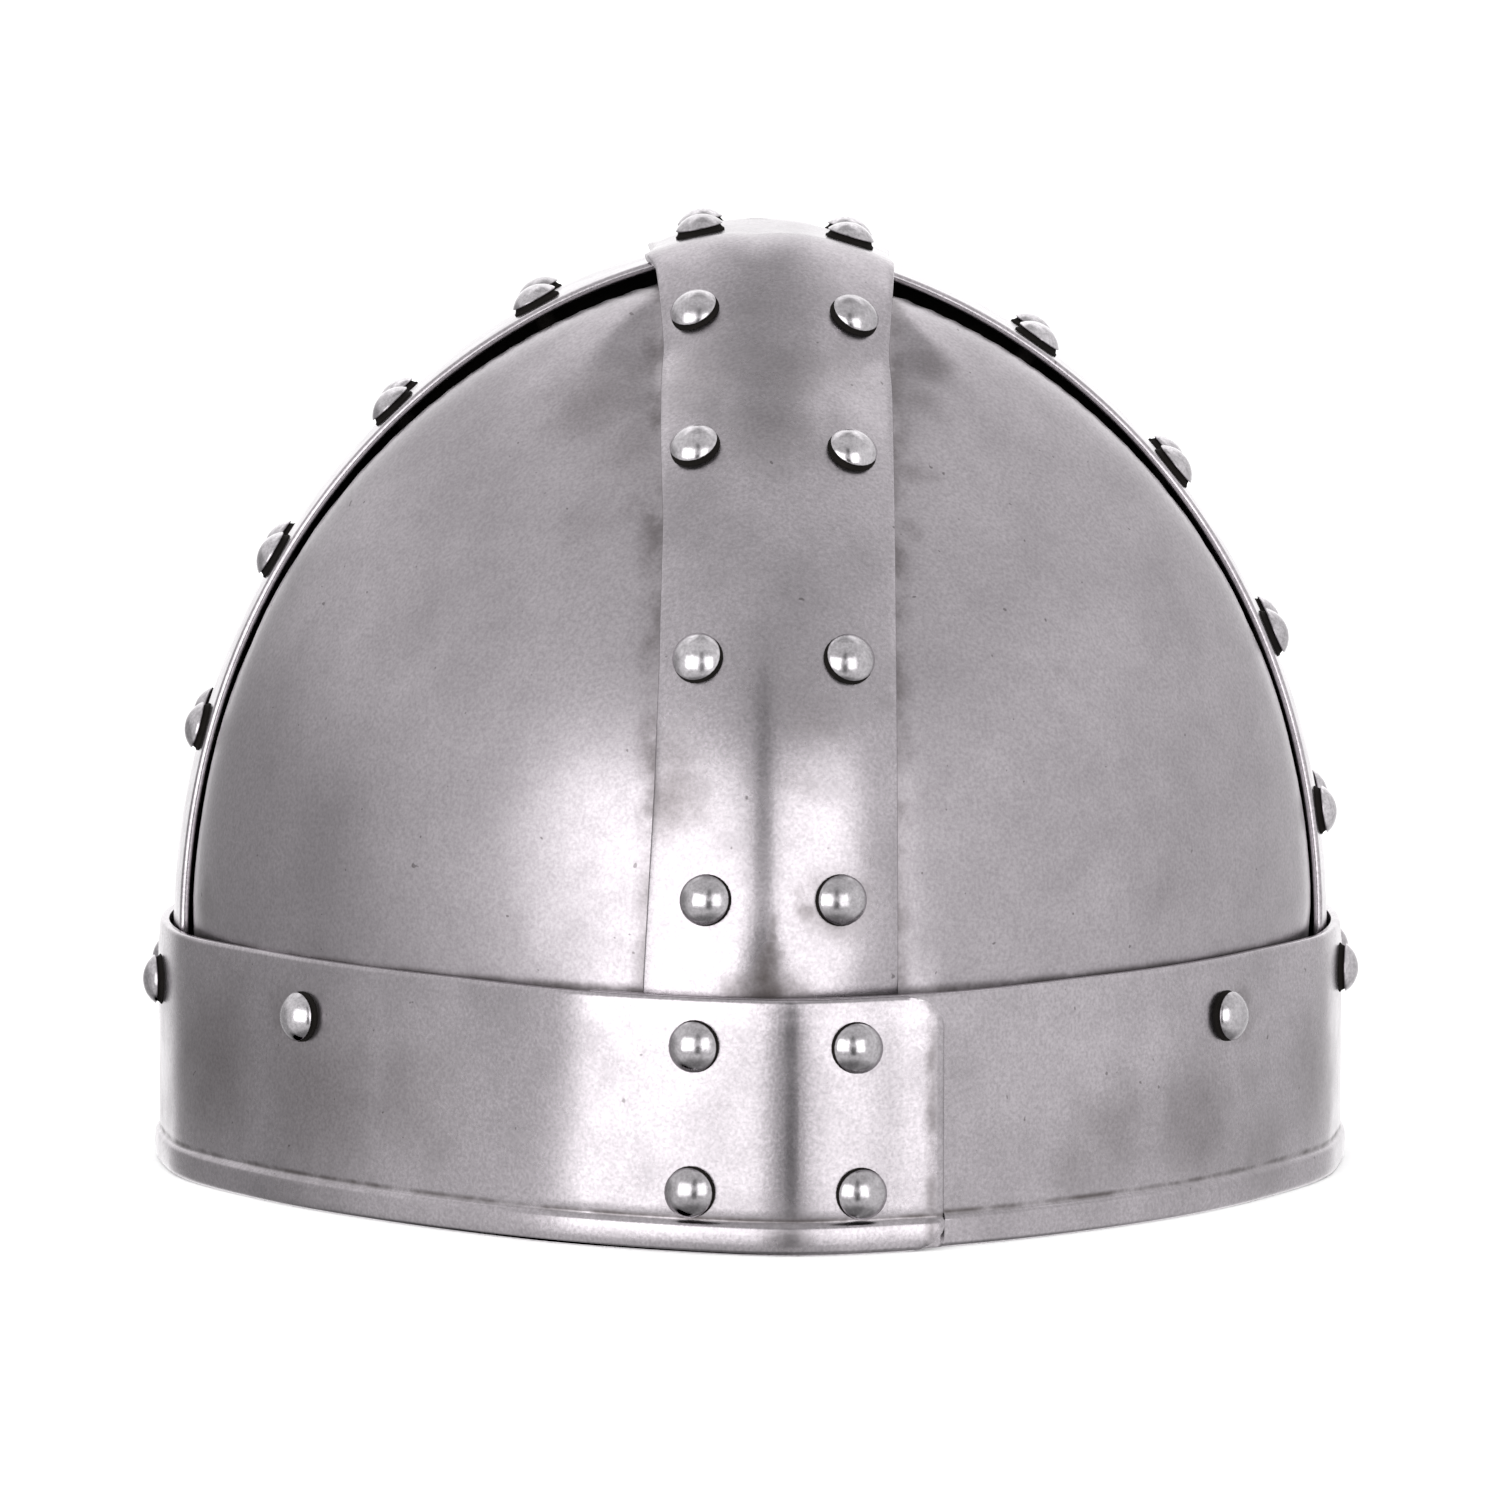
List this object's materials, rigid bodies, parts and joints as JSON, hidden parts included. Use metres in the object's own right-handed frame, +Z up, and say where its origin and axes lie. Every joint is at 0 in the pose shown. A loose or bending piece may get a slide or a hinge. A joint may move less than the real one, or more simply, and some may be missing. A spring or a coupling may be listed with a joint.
{
  "type": "spangenhelm helmet",
  "caption": "Open riveted steel helmet: dished quarter plates under two crossing straps, held by a brow band with a lap joint and a hemmed rim.",
  "frame": {"origin": "in the plane of the rim, under the middle of the whole helmet", "axes": "+Z up to the crown, +Y away from the brow band's lap joint along the longer way, +X to the right seen from the lap"},
  "size_m": [0.2124, 0.2336, 0.1656],
  "materials": {
    "plate_steel": "satin brushed sheet with light soiling",
    "strap_steel": "satin brushed strap, dirt along the edges",
    "brow_steel": "satin brushed strap, dirt in the hem's crease",
    "rivet_steel": "hammered and polished domed heads"
  },
  "bodies": {
    "root": {"plate_near_left": "plate_steel", "plate_near_right": "plate_steel", "plate_far_left": "plate_steel", "plate_far_right": "plate_steel", "band_side_to_side": "strap_steel", "band_front_back": "strap_steel", "brow_band": "brow_steel", "rivet_near_1a": "rivet_steel", "rivet_near_1b": "rivet_steel", "rivet_near_2a": "rivet_steel", "rivet_near_2b": "rivet_steel", "rivet_near_3a": "rivet_steel", "rivet_near_3b": "rivet_steel", "rivet_near_4a": "rivet_steel", "rivet_near_4b": "rivet_steel", "rivet_far_1a": "rivet_steel", "rivet_far_1b": "rivet_steel", "rivet_far_2a": "rivet_steel", "rivet_far_2b": "rivet_steel", "rivet_far_3a": "rivet_steel", "rivet_far_3b": "rivet_steel", "rivet_far_4a": "rivet_steel", "rivet_far_4b": "rivet_steel", "rivet_left_1a": "rivet_steel", "rivet_left_1b": "rivet_steel", "rivet_left_2a": "rivet_steel", "rivet_left_2b": "rivet_steel", "rivet_left_3a": "rivet_steel", "rivet_left_3b": "rivet_steel", "rivet_left_4a": "rivet_steel", "rivet_left_4b": "rivet_steel", "rivet_right_1a": "rivet_steel", "rivet_right_1b": "rivet_steel", "rivet_right_2a": "rivet_steel", "rivet_right_2b": "rivet_steel", "rivet_right_3a": "rivet_steel", "rivet_right_3b": "rivet_steel", "rivet_right_4a": "rivet_steel", "rivet_right_4b": "rivet_steel", "rivet_crown_aa": "rivet_steel", "rivet_crown_ab": "rivet_steel", "rivet_crown_ba": "rivet_steel", "rivet_crown_bb": "rivet_steel", "rivet_brow_aa": "rivet_steel", "rivet_brow_ab": "rivet_steel", "rivet_brow_ba": "rivet_steel", "rivet_brow_bb": "rivet_steel", "rivet_lap_upper_a": "rivet_steel", "rivet_lap_upper_b": "rivet_steel", "rivet_lap_lower_a": "rivet_steel", "rivet_lap_lower_b": "rivet_steel", "rivet_brow_far_a": "rivet_steel", "rivet_brow_far_b": "rivet_steel", "rivet_brow_left_a": "rivet_steel", "rivet_brow_left_b": "rivet_steel", "rivet_brow_right_a": "rivet_steel", "rivet_brow_right_b": "rivet_steel", "rivet_chin_strap_a": "rivet_steel", "rivet_chin_strap_b": "rivet_steel"}
  },
  "joints": []
}
